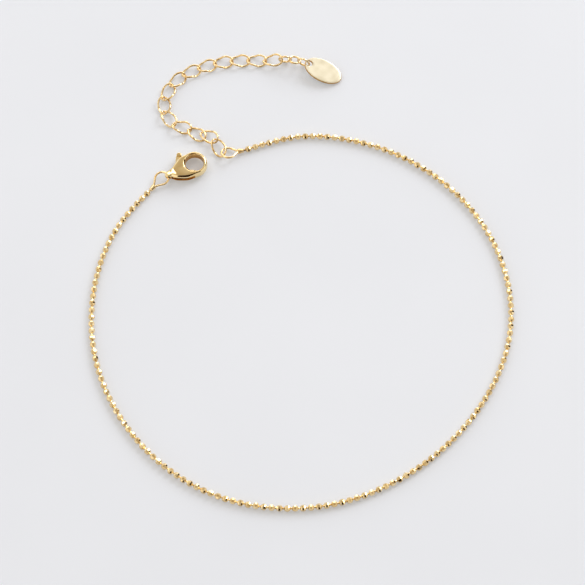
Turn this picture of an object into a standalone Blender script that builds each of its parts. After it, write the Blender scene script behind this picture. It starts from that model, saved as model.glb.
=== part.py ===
"""Anklet: a fine chain of faceted beads, a lobster clasp and a curb-link extender.

It lies unfastened on a surface at z = 0, with the clasp and the extender at the far left
of the loop.  Lengths are in metres, +Z is up, and the origin is the middle of the footprint.
"""

import math

import bmesh
import bpy
import numpy as np
from mathutils import Euler, Matrix, Vector

MM = 0.001

# Bead chain
BEAD_DIAMETER = 1.05 * MM      # across two opposite flats
BEAD_LENGTH = 1.02 * MM
BEAD_BELT = 0.44 * MM          # full-width middle of a bead
BEAD_PITCH = 1.40 * MM
BEAD_SIDES = 10
CHAIN_WIRE = 0.30 * MM         # neck between two beads
CHAIN_TAIL = 0.55 * MM         # bare wire past the last bead, held in the end ring's sleeve

# The bead chain's route over the surface, from the clasp round to the extender
CHAIN_ROUTE_MM = [
    (-28.05, 17.4), (-33.9, 9.8), (-37.3, 1.1), (-38.4, -8.3), (-37.3, -17.7),
    (-33.9, -26.5), (-28.5, -34.3), (-21.4, -40.5), (-12.9, -44.6), (-3.6, -46.2),
    (5.8, -45.4), (14.7, -42.2), (22.7, -37.1), (29.4, -30.5), (34.6, -22.6),
    (37.8, -13.7), (38.3, -4.3), (36.2, 4.9), (31.7, 13.2), (25.2, 20.1),
    (17.2, 25.2), (8.2, 28.1), (-1.1, 28.5), (-6.6, 27.1), (-11.15, 25.55),
]

# End rings: a drop-shaped loop soldered to a tapered sleeve
RING_WIRE = 0.42 * MM
RING_RADIUS = 1.30 * MM        # middle of the wire
SLEEVE_LENGTH = 1.15 * MM
SLEEVE_TIP = 0.70 * MM         # diameter at the beads
SLEEVE_BASE = 0.98 * MM        # diameter at the loop
SLEEVE_GRIP = 0.30 * MM        # chain wire inside the sleeve
SLEEVE_GAP = 0.09 * MM
CLASP_RING_REACH = 2.20 * MM   # from the sleeve's base to the loop's centre
EXTENDER_RING_REACH = 2.00 * MM
CLASP_RING_HEADING = 47.5
CLASP_RING_ROLL = -4.0         # the loop's near side is up, square to the tail hole
RING_PASS = -22.0              # where the clasp's tail sits on its loop, round the loop's centre
EXTENDER_RING_HEADING = 193.5
EXTENDER_RING_ROLL = 16.5      # the loop's near side is up
EXTENDER_RING_CLIMB = 6.5

# Lobster clasp, measured from the centre of its tail hole
CLASP_THICKNESS = 2.20 * MM
HOOK_THICKNESS = 1.80 * MM     # at the far end of the hook
CLASP_EDGE = 0.32 * MM         # rounding of the rim
TAIL_REACH = 0.60 * MM
TAIL_WIDTH = 1.05 * MM
TAIL_THICKNESS = 1.50 * MM
TAIL_HOLE = 0.90 * MM
EYE_X = 5.40 * MM
EYE_Y = 0.50 * MM
EYE_RADIUS = 1.70 * MM
HOOK_RADIUS = 2.46 * MM        # outside of the hook
PIVOT_X = 2.20 * MM
PIVOT_Y = 0.30 * MM
PIN_DIAMETER = 0.60 * MM
PIN_LENGTH = 1.36 * MM
PIN_GAP = 0.06 * MM
LEVER_THICKNESS = 0.70 * MM
LEVER_GAP = 0.10 * MM          # round the lever and its gate
SLOT_START = 0.50 * MM         # from the tail hole to the lever's slot
NUB_WIDTH = 0.98 * MM
NUB_THICKNESS = 1.20 * MM
NUB_REACH = 1.45 * HOOK_RADIUS # from the pivot to the nub's end
NUB_ANGLE = 70.0
GATE_THICKNESS = 1.86 * MM
CLASP_HEADING = 19.5

# Flanks between tail and hook: shares of the way along, and of the way across
NUB_FLANK = [(0.12, 0.05), (0.28, 0.27), (0.45, 0.58), (0.60, 0.83), (0.78, 0.97)]
GATE_FLANK = [(0.82, 1.06), (0.62, 1.05), (0.38, 0.78), (0.18, 0.42), (0.07, 0.12)]

# Where the hook's tip and the cheeks end, round the eye: degrees
HOOK_TIP_ANGLES = (-92.0, -105.0)
CHEEK_ANGLES = (-141.0, -133.0)

# The lever's plate round its pivot: shares of the hook's radius
LEVER_PLATE = [
    (-0.62, -0.42), (-0.10, -0.62), (0.50, -0.84), (0.86, -0.62), (0.70, -0.42),
    (0.38, -0.19), (0.35, 0.26), (0.44, 0.73), (0.53, 1.20), (0.28, 1.24),
    (0.15, 1.10), (-0.06, 0.58), (-0.31, 0.19), (-0.34, -0.04), (-0.52, -0.22),
]

# Extender: curb links, then two round links and the tag's ring
LINK_WIRE = 0.40 * MM
LINK_LENGTH = 4.10 * MM
LINK_WIDTH = 2.70 * MM
LINK_GAP = 0.07 * MM
ROUND_LINK_RADIUS = 1.15 * MM  # middle of the wire
CURB_SNAP = 2.2                # how quickly a link's wire goes from over to under
CURB_SPREAD = 1.25
EXTENDER_START = (0.168 * MM, 0.057 * MM, -0.44 * MM)   # first link's near end from the bow

# Curb links from the end ring on: turn, and the step from the link before (the first: from its
# own near end) as shares of the taut pitch
CURB_LINKS = [
    {"heading": 117.0, "climb": 7.5, "roll": -6.5, "step": (-0.225, 0.442, 0.065)},
    {"heading": 147.5, "climb": -11.5, "roll": -3.5, "step": (-0.561, 0.748, 0.008)},
    {"heading": 149.0, "climb": -0.5, "roll": -1.0, "step": (-0.747, 0.208, -0.087)},
    {"heading": 164.5, "climb": 2.5, "roll": 0.0, "step": (-0.890, 0.435, 0.038)},
    {"heading": 126.5, "climb": 3.0, "roll": -1.0, "step": (-0.760, 0.566, 0.003)},
    {"heading": 96.5, "climb": -0.5, "roll": -1.0, "step": (-0.293, 0.909, -0.012)},
    {"heading": 68.0, "climb": 0.0, "roll": 0.0, "step": (0.206, 0.893, -0.028)},
    {"heading": 45.0, "climb": 0.0, "roll": 0.0, "step": (0.540, 0.818, 0.000)},
    {"heading": 26.0, "climb": 0.0, "roll": 0.0, "step": (0.803, 0.572, 0.000)},
    {"heading": 20.0, "climb": 0.0, "roll": 0.0, "step": (0.920, 0.390, 0.000)},
    {"heading": 10.5, "climb": 0.0, "roll": 0.0, "step": (0.961, 0.263, 0.000)},
    {"heading": 2.0, "climb": 0.0, "roll": 0.0, "step": (0.991, 0.108, 0.000)},
    {"heading": -1.0, "climb": 0.0, "roll": 0.0, "step": (1.000, 0.009, 0.000)},
    {"heading": -2.0, "climb": 13.5, "roll": 0.0, "step": (0.962, -0.025, 0.111)},
]
LAST_PULL = 0.95               # last curb link's share of the taut pitch

# Round links that lead up to the tag: heading, climb, roll about the heading
ROUND_LINKS = [
    {"name": "round_link_1", "heading": -3.0, "climb": 10.0, "roll": -84.0},
    {"name": "round_link_2", "heading": -10.0, "climb": -4.0, "roll": -28.0},
    {"name": "tag_ring", "heading": -22.0, "climb": 4.0, "roll": -88.0},
]

# Tag
TAG_LENGTH = 7.64 * MM
TAG_WIDTH = 4.50 * MM
TAG_THICKNESS = 0.50 * MM
TAG_EDGE = 0.12 * MM
TAG_HOLE = 1.15 * MM
TAG_HOLE_INSET = 0.85 * MM     # hole's centre from the tag's end
TAG_HEADING = -24.5

WIRE_SIDES = 6
RING_STEPS = 14


def new_collection(name):
    """A collection of that name under the scene's own."""
    group = bpy.data.collections.new(name)
    bpy.context.scene.collection.children.link(group)
    return group


def gold(name, colour, roughness):
    """A polished metal of one colour."""
    material = bpy.data.materials.new(name)
    material.use_nodes = True
    shader = material.node_tree.nodes["Principled BSDF"]
    shader.inputs["Base Color"].default_value = (*colour, 1.0)
    shader.inputs["Metallic"].default_value = 1.0
    shader.inputs["Roughness"].default_value = roughness
    return material


def add_object(name, data, group, material=None):
    """An object that holds the data, in the group."""
    piece = bpy.data.objects.new(name, data)
    group.objects.link(piece)
    if material:
        data.materials.append(material)
    return piece


def add_tool(name, data):
    """A solid that only cuts or joins, kept out of the model."""
    tool = add_object(name, data, tools)
    tool.hide_render = True
    tool.display_type = "WIRE"
    return tool


def boolean(piece, tool, operation):
    """Cut, join or intersect the piece with the tool."""
    modifier = piece.modifiers.new(tool.name, "BOOLEAN")
    modifier.operation = operation
    modifier.solver = "EXACT"
    modifier.object = tool


def turned(heading, climb=0.0, roll=0.0):
    """Turn the X axis to a heading, then lift it by the climb and roll about it (degrees)."""
    return Euler((math.radians(roll), -math.radians(climb), math.radians(heading)))


def place(piece, location, turn, parent=None):
    """Put a piece at a location with a turn, under a parent if it has one."""
    piece.location = location
    piece.rotation_euler = turn
    piece.parent = parent


def poly_curve(name, points, wire, cyclic=True):
    """A wire of round section through the points."""
    curve = bpy.data.curves.new(name, "CURVE")
    curve.dimensions = "3D"
    curve.bevel_depth = wire / 2
    curve.bevel_resolution = (WIRE_SIDES - 4) // 2
    curve.use_fill_caps = True
    spline = curve.splines.new("POLY")
    spline.points.add(len(points) - 1)
    for knot, point in zip(spline.points, points):
        knot.co = (*point, 1.0)
    spline.use_cyclic_u = cyclic
    return curve


def plate_mesh(name, outlines, thickness):
    """A flat plate, its middle at z = 0, inside the first outline and outside the others."""
    curve = bpy.data.curves.new(name, "CURVE")
    curve.dimensions = "2D"
    curve.fill_mode = "BOTH"
    curve.extrude = thickness / 2
    for outline in outlines:
        spline = curve.splines.new("POLY")
        spline.points.add(len(outline) - 1)
        for knot, (x, y) in zip(spline.points, outline):
            knot.co = (x, y, 0.0, 1.0)
        spline.use_cyclic_u = True
    return mesh_of_curve(curve)


def mesh_of_curve(curve):
    """The curve's surface as a closed mesh, its caps welded on."""
    holder = add_object(curve.name + "_curve", curve, tools)
    graph = bpy.context.evaluated_depsgraph_get()
    mesh = bpy.data.meshes.new_from_object(holder.evaluated_get(graph))
    mesh.name = curve.name
    bpy.data.objects.remove(holder)
    work = bmesh.new()
    work.from_mesh(mesh)
    bmesh.ops.remove_doubles(work, verts=work.verts, dist=0.002 * MM)
    work.to_mesh(mesh)
    work.free()
    return mesh


def cone_mesh(name, base_radius, tip_radius, length, sides):
    """A round bar or cone along +Z, from z = 0 to its length."""
    mesh = bpy.data.meshes.new(name)
    work = bmesh.new()
    bmesh.ops.create_cone(work, cap_ends=True, segments=sides, radius1=base_radius,
                          radius2=tip_radius, depth=length,
                          matrix=Matrix.Translation((0, 0, length / 2)))
    work.to_mesh(mesh)
    work.free()
    return mesh


def arc(centre, radius, start, end, steps):
    """Points on an arc, angles in degrees."""
    angles = np.radians(np.linspace(start, end, steps))
    return [(centre[0] + radius * math.cos(a), centre[1] + radius * math.sin(a))
            for a in angles]


def rounded(mesh, angle=40.0):
    """Shade a mesh smooth, with edges sharper than the angle kept."""
    mesh.shade_smooth()
    mesh.set_sharp_from_angle(angle=math.radians(angle))
    return mesh


# Bead chain

def smooth_route(points):
    """The natural cubic curve through the points: arc lengths, positions and directions."""
    knots = np.array(points) * MM
    steps = np.linalg.norm(np.diff(knots, axis=0), axis=1)
    at = np.concatenate(([0.0], np.cumsum(steps)))
    count = len(knots)
    system = np.eye(count)
    right = np.zeros((count, 2))
    slopes = np.diff(knots, axis=0) / steps[:, None]
    for i in range(1, count - 1):
        system[i, i - 1:i + 2] = steps[i - 1], 2 * (steps[i - 1] + steps[i]), steps[i]
        right[i] = 6 * (slopes[i] - slopes[i - 1])
    bend = np.linalg.solve(system, right)
    t = np.linspace(0.0, at[-1], 6000)
    span = np.clip(np.searchsorted(at, t) - 1, 0, count - 2)
    step = steps[span][:, None]
    before = (t - at[span])[:, None]
    after = step - before
    curve = (bend[span] * after**3 + bend[span + 1] * before**3) / (6 * step)
    curve += (knots[span] / step - bend[span] * step / 6) * after
    curve += (knots[span + 1] / step - bend[span + 1] * step / 6) * before
    along = np.gradient(curve, t, axis=0)
    along /= np.linalg.norm(along, axis=1)[:, None]
    arcs = np.concatenate(([0.0], np.cumsum(np.linalg.norm(np.diff(curve, axis=0), axis=1))))
    return arcs, curve, along


def chain_sections(length):
    """Where the chain's width changes: distance along it, corner radius, number of sides."""
    neck = CHAIN_WIRE / 2
    belt = BEAD_DIAMETER / 2 / math.cos(math.pi / BEAD_SIDES)
    beaded = length - 2 * CHAIN_TAIL
    count = round(beaded / BEAD_PITCH)
    sections = [(0.0, neck, BEAD_SIDES // 2)]
    for i in range(count):
        middle = CHAIN_TAIL + (i + 0.5) * beaded / count
        sections.append((middle - BEAD_LENGTH / 2, neck, BEAD_SIDES // 2))
        sections.append((middle - BEAD_BELT / 2, belt, BEAD_SIDES))
        sections.append((middle + BEAD_BELT / 2, belt, BEAD_SIDES))
        sections.append((middle + BEAD_LENGTH / 2, neck, BEAD_SIDES // 2))
    sections.append((length, neck, BEAD_SIDES // 2))
    return sections


def join_sections(faces, first, first_sides, second, second_sides):
    """Faces between two sections, of which one may have twice the sides of the other."""
    if first_sides == second_sides:
        for k in range(first_sides):
            n = (k + 1) % first_sides
            faces.append((first + k, first + n, second + n, second + k))
        return
    coarse_first = first_sides < second_sides
    coarse, fine = (first, second) if coarse_first else (second, first)
    sides = min(first_sides, second_sides)
    for k in range(sides):
        n = (k + 1) % sides
        fan = [
            (coarse + k, fine + 2 * k + 1, fine + 2 * k),
            (coarse + k, coarse + n, fine + 2 * k + 1),
            (coarse + n, fine + 2 * n, fine + 2 * k + 1),
        ]
        faces.extend(fan if coarse_first else [face[::-1] for face in fan])


def bead_chain_mesh():
    """The whole chain as one surface: unlike sections, lofted one to the next."""
    arcs, curve, along = route
    verts, faces = [], []
    last = None
    for at, radius, sides in chain_sections(arcs[-1]):
        x, y = (np.interp(at, arcs, curve[:, k]) for k in (0, 1))
        dx, dy = (np.interp(at, arcs, along[:, k]) for k in (0, 1))
        start = len(verts)
        for k in range(sides):
            turn = 2 * math.pi * k / sides + math.pi / BEAD_SIDES - math.pi / 2
            out, up = radius * math.cos(turn), radius * math.sin(turn)
            verts.append((x - dy * out, y + dx * out, BEAD_DIAMETER / 2 + up))
        if last:
            join_sections(faces, *last, start, sides)
        last = (start, sides)
    faces.append(tuple(reversed(range(BEAD_SIDES // 2))))
    faces.append(tuple(range(last[0], last[0] + last[1])))
    mesh = bpy.data.meshes.new("bead_chain")
    mesh.from_pydata(verts, [], faces)
    work = bmesh.new()
    work.from_mesh(mesh)
    bmesh.ops.recalc_face_normals(work, faces=work.faces)
    work.to_mesh(mesh)
    work.free()
    return mesh


# End rings

def drop_loop(reach):
    """Middle line of a drop-shaped loop, its point at the origin, its bow along +X."""
    tangent = math.degrees(math.acos(RING_RADIUS / reach))
    bow = arc((reach, 0.0), RING_RADIUS, 180 - tangent, tangent - 180, RING_STEPS - 1)
    return [(0.0, 0.0, 0.0)] + [(x, y, 0.0) for x, y in bow]


def end_ring(name, reach, location, turn):
    """A loop with its sleeve, which is drilled for the chain's wire."""
    piece = add_object(name, mesh_of_curve(poly_curve(name, drop_loop(reach), RING_WIRE)),
                       anklet, ring_gold)
    along = Euler((0.0, -math.pi / 2, 0.0))
    sleeve = add_tool(name + "_sleeve", cone_mesh(name + "_sleeve", SLEEVE_BASE / 2,
                                                  SLEEVE_TIP / 2, SLEEVE_LENGTH, 12))
    depth = SLEEVE_GRIP + SLEEVE_GAP
    bore_radius = (CHAIN_WIRE / 2 + SLEEVE_GAP) / math.cos(math.pi / 12)
    bore = add_tool(name + "_bore", cone_mesh(name + "_bore", bore_radius, bore_radius,
                                              depth + RING_WIRE, 12))
    place(piece, location, turn)
    place(sleeve, (RING_WIRE / 2, 0.0, 0.0), along, piece)
    place(bore, (RING_WIRE / 2 - SLEEVE_LENGTH + depth, 0.0, 0.0), along, piece)
    boolean(piece, sleeve, "UNION")
    boolean(piece, bore, "DIFFERENCE")
    return piece


def ring_at(end, along, heading, climb, roll):
    """Location and turn of an end ring whose sleeve takes the chain's wire at that end."""
    turn = turned(heading, climb, roll)
    middle = Vector((*(end - along * SLEEVE_GRIP / 2), BEAD_DIAMETER / 2))
    return middle + turn.to_matrix() @ Vector((sleeve_reach(), 0.0, 0.0)), turn


def sleeve_reach():
    """From the middle of the gripped wire to the loop's point."""
    return SLEEVE_LENGTH - RING_WIRE / 2 - SLEEVE_GRIP / 2


# Clasp

def round_eye(radius, angle):
    """The point at that distance and angle from the eye's centre."""
    return (EYE_X + radius * math.cos(math.radians(angle)),
            EYE_Y + radius * math.sin(math.radians(angle)))


def clasp_outline():
    """Outside of the clasp seen from above: tail, flank, hook and gate side."""
    half = TAIL_WIDTH / 2
    tail = arc((half - TAIL_REACH, 0.0), half, 270, 90, 9)
    hook = arc((EYE_X, EYE_Y), HOOK_RADIUS, 112, HOOK_TIP_ANGLES[0], 26)
    (shoulder_x, shoulder_y), (foot_x, foot_y) = hook[0], hook[-1]
    nub_side = [(shoulder_x * x, half + (shoulder_y - half) * y) for x, y in NUB_FLANK]
    gate_side = [(foot_x * x, -half + (foot_y + half) * y) for x, y in GATE_FLANK]
    return tail + nub_side + hook + gate_side


def gate_gap():
    """The gap in the hook: between the cheeks' ends and the hook's tip."""
    beyond = 1.4 * HOOK_RADIUS
    inside = 0.97 * EYE_RADIUS
    return [round_eye(beyond, CHEEK_ANGLES[1]), round_eye(inside, CHEEK_ANGLES[0]),
            round_eye(inside, HOOK_TIP_ANGLES[0]), round_eye(beyond, HOOK_TIP_ANGLES[1] - 4)]


def gate_outline():
    """The gate's block round the pivot: it fills the gap in the hook."""
    cheek_out, cheek_in, tip_in, tip_out = (Vector(point) for point in gate_gap())
    cheek = (cheek_out - cheek_in).normalized()
    tip = (tip_out - tip_in).normalized()
    cheek_in = cheek_in + Vector((-cheek.y, cheek.x)) * LEVER_GAP
    tip_in = tip_in + Vector((tip.y, -tip.x)) * LEVER_GAP
    depth = HOOK_RADIUS - EYE_RADIUS
    outline = [tip_in + tip * 1.12 * depth, tip_in + tip * 0.06 * depth,
               cheek_in + cheek * 0.06 * depth, cheek_in + cheek * 1.45 * depth]
    return [(point.x - PIVOT_X, point.y - PIVOT_Y) for point in outline]


def clasp_body():
    """The cast body: outline by side profile, then eye, gap, slot, pin sockets, tail hole."""
    eye = arc((EYE_X, EYE_Y), EYE_RADIUS, 0, 345, 24)
    body = add_object("clasp_body", plate_mesh("clasp_body", [clasp_outline(), eye],
                                               2 * CLASP_THICKNESS), anklet, clasp_gold)
    half, tail, tip = CLASP_THICKNESS / 2, TAIL_THICKNESS / 2, HOOK_THICKNESS / 2
    ahead = EYE_X + 1.4 * HOOK_RADIUS
    upper = [(-2 * TAIL_REACH, tail), (SLOT_START / 2, tail), (SLOT_START + TAIL_REACH, half),
             (PIVOT_X + TAIL_REACH, half), (ahead, tip)]
    profile = upper + [(x, -z) for x, z in reversed(upper)]
    side = add_tool("clasp_side", plate_mesh("clasp_side", [profile], 8 * HOOK_RADIUS))
    place(side, (0, 0, 0), Euler((math.pi / 2, 0, 0)), body)
    boolean(body, side, "INTERSECT")
    edge = body.modifiers.new("rounded rim", "BEVEL")
    edge.width = CLASP_EDGE
    edge.segments = 2
    edge.limit_method = "ANGLE"
    edge.angle_limit = math.radians(50)

    gap = add_tool("gate_gap", plate_mesh("gate_gap", [gate_gap()], 2 * CLASP_THICKNESS))
    place(gap, (0, 0, 0), Euler(), body)
    boolean(body, gap, "DIFFERENCE")

    far = 2 * HOOK_RADIUS
    root_x, gate_x = EYE_X - 1.1 * EYE_RADIUS, EYE_X - 0.4 * EYE_RADIUS
    region = [(SLOT_START, -far), (gate_x, -far), (gate_x, EYE_Y + EYE_RADIUS / 2),
              (root_x, EYE_Y + EYE_RADIUS / 2), (root_x, far), (SLOT_START, far)]
    slot = add_tool("lever_slot", plate_mesh("lever_slot", [region],
                                             LEVER_THICKNESS + 2 * LEVER_GAP))
    place(slot, (0, 0, 0), Euler(), body)
    boolean(body, slot, "DIFFERENCE")

    socket_radius = (PIN_DIAMETER / 2 + PIN_GAP) / math.cos(math.pi / 16)
    depth = PIN_LENGTH + 2 * PIN_GAP
    socket = add_tool("pin_socket", cone_mesh("pin_socket", socket_radius, socket_radius,
                                              depth, 16))
    place(socket, (PIVOT_X, PIVOT_Y, -depth / 2), Euler(), body)
    boolean(body, socket, "DIFFERENCE")

    hole = add_tool("tail_hole", cone_mesh("tail_hole", TAIL_HOLE / 2, TAIL_HOLE / 2,
                                           4 * TAIL_WIDTH, 12))
    place(hole, (0, 2 * TAIL_WIDTH, 0), Euler((math.pi / 2, 0, 0)), body)
    boolean(body, hole, "DIFFERENCE")
    return body


def clasp_lever():
    """The lever: plate, gate block and thumb nub in one casting, round its pivot."""
    bore_radius = (PIN_DIAMETER / 2 + PIN_GAP) / math.cos(math.pi / 16)
    plate = [(x * HOOK_RADIUS, y * HOOK_RADIUS) for x, y in LEVER_PLATE]
    lever = add_object("clasp_lever", plate_mesh("clasp_lever", [
        plate, arc((0, 0), bore_radius, 0, 337.5, 16)], LEVER_THICKNESS), anklet, clasp_gold)
    gate = add_tool("gate_block", plate_mesh("gate_block", [gate_outline()], GATE_THICKNESS))
    place(gate, (0, 0, 0), Euler(), lever)
    boolean(lever, gate, "UNION")
    half = NUB_WIDTH / 2
    nub_root = (NUB_REACH - 1.5 * half, half)
    outline = arc((NUB_REACH - half, 0), half, -90, 90, 9) + [nub_root, (nub_root[0], -half)]
    nub = add_tool("thumb_nub", plate_mesh("thumb_nub", [outline], NUB_THICKNESS))
    place(nub, (0, 0, 0), Euler((0, 0, math.radians(NUB_ANGLE))), lever)
    boolean(lever, nub, "UNION")
    return lever


def build_clasp(location):
    """The clasp on its own empty, its tail hole at the location."""
    pose = add_object("clasp_pose", None, anklet)
    place(pose, location, turned(CLASP_HEADING))
    place(clasp_body(), (0, 0, 0), Euler(), pose)
    place(clasp_lever(), (PIVOT_X, PIVOT_Y, 0), Euler(), pose)
    pin = add_object("lever_pin", cone_mesh("lever_pin", PIN_DIAMETER / 2, PIN_DIAMETER / 2,
                                            PIN_LENGTH, 16), anklet, clasp_gold)
    place(pin, (PIVOT_X, PIVOT_Y, -PIN_LENGTH / 2), Euler(), pose)


# Extender

def curb_line():
    """Middle line of a curb link: an oval whose four quarters go over and under by turns."""
    half_length = (LINK_LENGTH - LINK_WIRE) / 2 / math.cos(math.pi / RING_STEPS)
    half_width = (LINK_WIDTH - LINK_WIRE) / 2
    line = []
    for k in range(RING_STEPS):
        turn = 2 * math.pi * (k + 0.5) / RING_STEPS
        wave = math.tanh(CURB_SNAP * math.sin(2 * turn)) / math.tanh(CURB_SNAP)
        line.append((half_length * math.cos(turn), half_width * math.sin(turn),
                     curb_lift() * wave))
    return line


def curb_lift():
    """How far a curb link's wire goes above and below its middle."""
    return (LINK_WIRE + LINK_GAP) / 2 * CURB_SPREAD


def build_curb_links(start):
    """Curb links from the start point on; gives the far end of the last."""
    shape = poly_curve("curb_link", curb_line(), LINK_WIRE)
    shape.materials.append(link_gold)
    taut = LINK_LENGTH - 2 * LINK_WIRE - LINK_GAP
    middle = start
    for number, row in enumerate(CURB_LINKS, start=1):
        turn = turned(row["heading"], row["climb"], row["roll"])
        middle = middle + Vector(row["step"]) * taut
        link = add_object(f"extender_link_{number:02d}", shape, anklet)
        place(link, middle, turn)
    return middle + turn.to_matrix() @ Vector((LAST_PULL * taut / 2, 0.0, 0.0))


def build_round_links(joint):
    """The round links and the tag's ring; gives the point where the tag hangs."""
    half = ROUND_LINK_RADIUS - (LINK_WIRE + LINK_GAP) / 2
    circle = arc((0, 0), ROUND_LINK_RADIUS, 0, 360 * (1 - 1 / RING_STEPS), RING_STEPS)
    shape = poly_curve("round_link", [(x, y, 0.0) for x, y in circle], LINK_WIRE)
    shape.materials.append(link_gold)
    for row in ROUND_LINKS:
        ahead = turned(row["heading"], row["climb"]).to_matrix() @ Vector((half, 0.0, 0.0))
        link = add_object(row["name"], shape, anklet)
        place(link, joint + ahead, turned(row["heading"], row["climb"], row["roll"]))
        joint = joint + 2 * ahead
    return joint + ahead.normalized() * (LINK_WIRE + LINK_GAP) / 2


def build_tag(hole_at):
    """The oval tag, its hole at that point and its far end on the surface."""
    mesh = bpy.data.meshes.new("tag")
    work = bmesh.new()
    bmesh.ops.create_cone(work, cap_ends=True, segments=36, radius1=TAG_LENGTH / 2,
                          radius2=TAG_LENGTH / 2, depth=TAG_THICKNESS)
    bmesh.ops.scale(work, vec=(1.0, TAG_WIDTH / TAG_LENGTH, 1.0), verts=work.verts)
    work.to_mesh(mesh)
    work.free()
    tag = add_object("tag", mesh, anklet, tag_gold)
    edge = tag.modifiers.new("rounded rim", "BEVEL")
    edge.width = TAG_EDGE
    edge.segments = 2
    edge.limit_method = "ANGLE"
    edge.angle_limit = math.radians(50)
    hole = add_tool("tag_hole", cone_mesh("tag_hole", TAG_HOLE / 2, TAG_HOLE / 2,
                                          4 * TAG_THICKNESS, 16))
    offset = TAG_LENGTH / 2 - TAG_HOLE_INSET
    place(hole, (-offset, 0, -2 * TAG_THICKNESS), Euler(), tag)
    boolean(tag, hole, "DIFFERENCE")
    fall = math.asin((hole_at.z - TAG_THICKNESS / 2) / (TAG_LENGTH - TAG_HOLE_INSET))
    turn = turned(TAG_HEADING, -math.degrees(fall))
    place(tag, hole_at + turn.to_matrix() @ Vector((offset, 0.0, 0.0)), turn)


for old in list(bpy.data.objects):
    bpy.data.objects.remove(old)

anklet = new_collection("anklet")
tools = new_collection("cutters")

bead_gold = gold("bead_gold", (0.80, 0.60, 0.30), 0.18)
ring_gold = gold("ring_gold", (0.83, 0.65, 0.36), 0.22)
clasp_gold = gold("clasp_gold", (0.84, 0.68, 0.40), 0.16)
link_gold = gold("link_gold", (0.80, 0.58, 0.30), 0.22)
tag_gold = gold("tag_gold", (0.88, 0.78, 0.55), 0.30)

route = smooth_route(CHAIN_ROUTE_MM)
add_object("bead_chain", bead_chain_mesh(), anklet, bead_gold)

pass_x = CLASP_RING_REACH + RING_RADIUS * math.cos(math.radians(RING_PASS))
pass_y = RING_RADIUS * math.sin(math.radians(RING_PASS))
run, lean = pass_x + sleeve_reach(), pass_y * math.sin(math.radians(CLASP_RING_ROLL))
rise = (CLASP_THICKNESS - BEAD_DIAMETER) / 2
climb = math.degrees(math.asin(rise / math.hypot(run, lean)) - math.atan2(lean, run))
ring_place, ring_turn = ring_at(route[1][0], -route[2][0], CLASP_RING_HEADING, climb,
                                CLASP_RING_ROLL)
end_ring("clasp_ring", CLASP_RING_REACH, ring_place, ring_turn)
tail_hole = ring_place + ring_turn.to_matrix() @ Vector((pass_x, pass_y, 0.0))
build_clasp(Vector((tail_hole.x, tail_hole.y, CLASP_THICKNESS / 2)))

ring_place, ring_turn = ring_at(route[1][-1], route[2][-1], EXTENDER_RING_HEADING,
                                EXTENDER_RING_CLIMB, EXTENDER_RING_ROLL)
end_ring("extender_ring", EXTENDER_RING_REACH, ring_place, ring_turn)
bow = ring_place + ring_turn.to_matrix() @ Vector((EXTENDER_RING_REACH + RING_RADIUS, 0.0, 0.0))
first = bow + Vector(EXTENDER_START)
build_tag(build_round_links(build_curb_links(first)))
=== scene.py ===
"""Anklet of faceted gold beads, lying unfastened: its looks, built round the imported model."""

import math

import bpy
import numpy as np
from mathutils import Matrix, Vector


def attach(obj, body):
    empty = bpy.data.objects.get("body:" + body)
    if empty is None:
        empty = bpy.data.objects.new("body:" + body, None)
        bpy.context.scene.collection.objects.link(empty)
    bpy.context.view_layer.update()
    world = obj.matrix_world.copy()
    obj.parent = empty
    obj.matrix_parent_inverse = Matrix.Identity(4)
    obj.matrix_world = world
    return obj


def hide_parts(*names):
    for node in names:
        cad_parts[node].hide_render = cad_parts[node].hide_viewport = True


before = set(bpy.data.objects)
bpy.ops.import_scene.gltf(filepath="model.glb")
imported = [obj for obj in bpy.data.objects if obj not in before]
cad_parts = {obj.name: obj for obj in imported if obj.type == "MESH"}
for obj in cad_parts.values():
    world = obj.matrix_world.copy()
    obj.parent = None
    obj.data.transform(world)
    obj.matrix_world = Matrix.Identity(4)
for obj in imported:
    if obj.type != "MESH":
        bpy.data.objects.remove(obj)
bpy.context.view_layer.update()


# Bead chain
# Fine chain of diamond-cut beads of gold-plated silver.  Each bead is cut with small flat
# facets, is turned its own way round the chain, and is joined to the next by a short neck.

BEAD_LENGTH = 0.00116
BEAD_RADIUS = 0.00054
BEAD_PITCH = 0.00140
BEAD_SIDES = 8
# Where a bead's six rings of corners lie, as shares of its length from its middle
BEAD_RINGS = np.array([-0.5, -0.35, -0.14, 0.14, 0.35, 0.5])
# Shares of the widest: how far the belt's facets reach, and the corners at the shoulders
FACET_REACH = 0.985
BEAD_SHOULDER = 0.80
# Share of a facet that the beads' turns spread over, and of a radius that the cuts differ by
TURN_SPREAD = 0.9
CUT_SPREAD = 0.02
# The golden share of a turn from bead to bead, and the steps that scatter the cuts' sine
GOLDEN_STEP = 0.618034
SCATTER_STEPS = (12.9898, 4.1)
NECK_RADIUS = 0.00019
CHAIN_TAIL = 0.00055
CHAIN_HEIGHT = 0.000525
FLOOR_CLEARANCE = 0.00001
LINE_SAMPLES = 6000
# Middle of the chain from the clasp to the extender, seen from above, in millimetres
CHAIN_ROUTE = np.array([
    (-28.05, 17.4), (-33.9, 9.8), (-37.3, 1.1), (-38.4, -8.3), (-37.3, -17.7),
    (-33.9, -26.5), (-28.5, -34.3), (-21.4, -40.5), (-12.9, -44.6), (-3.6, -46.2),
    (5.8, -45.4), (14.7, -42.2), (22.7, -37.1), (29.4, -30.5), (34.6, -22.6),
    (37.8, -13.7), (38.3, -4.3), (36.2, 4.9), (31.7, 13.2), (25.2, 20.1),
    (17.2, 25.2), (8.2, 28.1), (-1.1, 28.5), (-6.6, 27.1), (-11.15, 25.55),
]) * 0.001


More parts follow.
